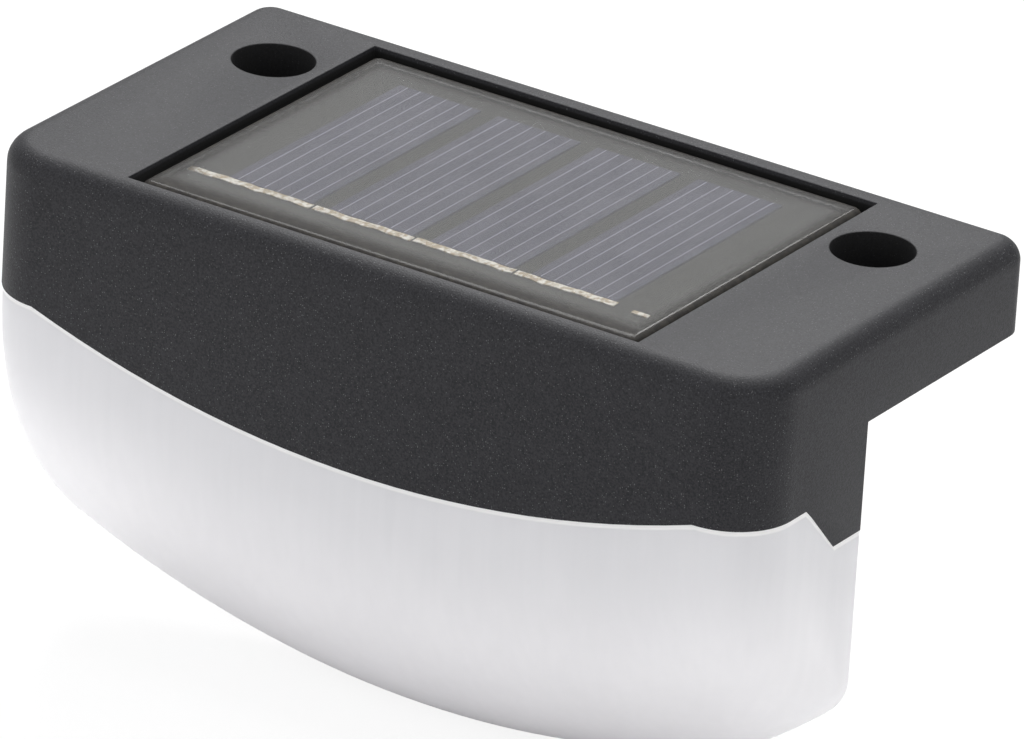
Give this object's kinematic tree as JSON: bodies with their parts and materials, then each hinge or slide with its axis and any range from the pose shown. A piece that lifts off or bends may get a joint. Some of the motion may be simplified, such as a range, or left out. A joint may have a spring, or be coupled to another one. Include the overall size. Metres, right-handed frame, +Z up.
{
  "type": "fence light",
  "caption": "L-shaped solar fence light: a flange that rests on a rail or step, a solar panel in its top and a frosted lens hanging in front of the riser.",
  "frame": {"origin": "midway between the two fixing screws, on the underside of the flange", "axes": "+Z up; the lit front faces -Y, the flange reaches to +Y; +X is the width, to the right seen from the front"},
  "size_m": [0.099, 0.0535, 0.0577],
  "materials": {
    "housing_plastic": "fine matt, moulded",
    "lens_plastic": "frosted translucent white",
    "screw_steel": "zinc plated",
    "foam": "closed-cell foam tape",
    "panel_board_laminate": "laminate, grey-brown",
    "silicon": "dark blue-grey silicon",
    "tinned_copper": "tinned",
    "clear_resin": "clear poured resin, glossy",
    "cell_steel": "nickel plated",
    "sleeve_film": "plain shrink film",
    "tab_nickel": "nickel strip",
    "wire_red": "insulated lead",
    "wire_black": "insulated lead",
    "board_laminate": "green solder mask",
    "led_epoxy": "clear yellowish epoxy",
    "chip_epoxy": "moulded epoxy",
    "coil_green": "lacquered coil",
    "chip_ceramic": "ceramic",
    "switch_plastic": "moulded",
    "button_plastic": "soft matt"
  },
  "bodies": {
    "light": {"top_housing": "housing_plastic", "back_cover": "housing_plastic", "lens": "lens_plastic", "cover_screws": "screw_steel", "panel_tape": "foam", "panel_board": "panel_board_laminate", "solar_cells": "silicon", "cell_ribbons": "tinned_copper", "panel_resin": "clear_resin", "battery_cell": "cell_steel", "battery_sleeve": "sleeve_film", "battery_pad": "foam", "battery_tabs": "tab_nickel", "battery_wire_red": "wire_red", "battery_wire_black": "wire_black", "panel_wire_red": "wire_red", "panel_wire_black": "wire_black", "circuit_board": "board_laminate", "board_screws": "screw_steel", "leds": "led_epoxy", "drive_chip": "chip_epoxy", "coil_inductor": "coil_green", "chip_parts": "chip_ceramic", "switch_case": "switch_plastic"},
    "power_button": {"button_cap": "button_plastic", "switch_plunger": "switch_plastic"}
  },
  "joints": [
    {"name": "button_press", "type": "slide", "parent": "light", "child": "power_button", "axis": [0, -1, 0], "range_m": [0, 0.0005], "stiffness_N_per_m": 900, "springref_m": -0.0005}
  ]
}
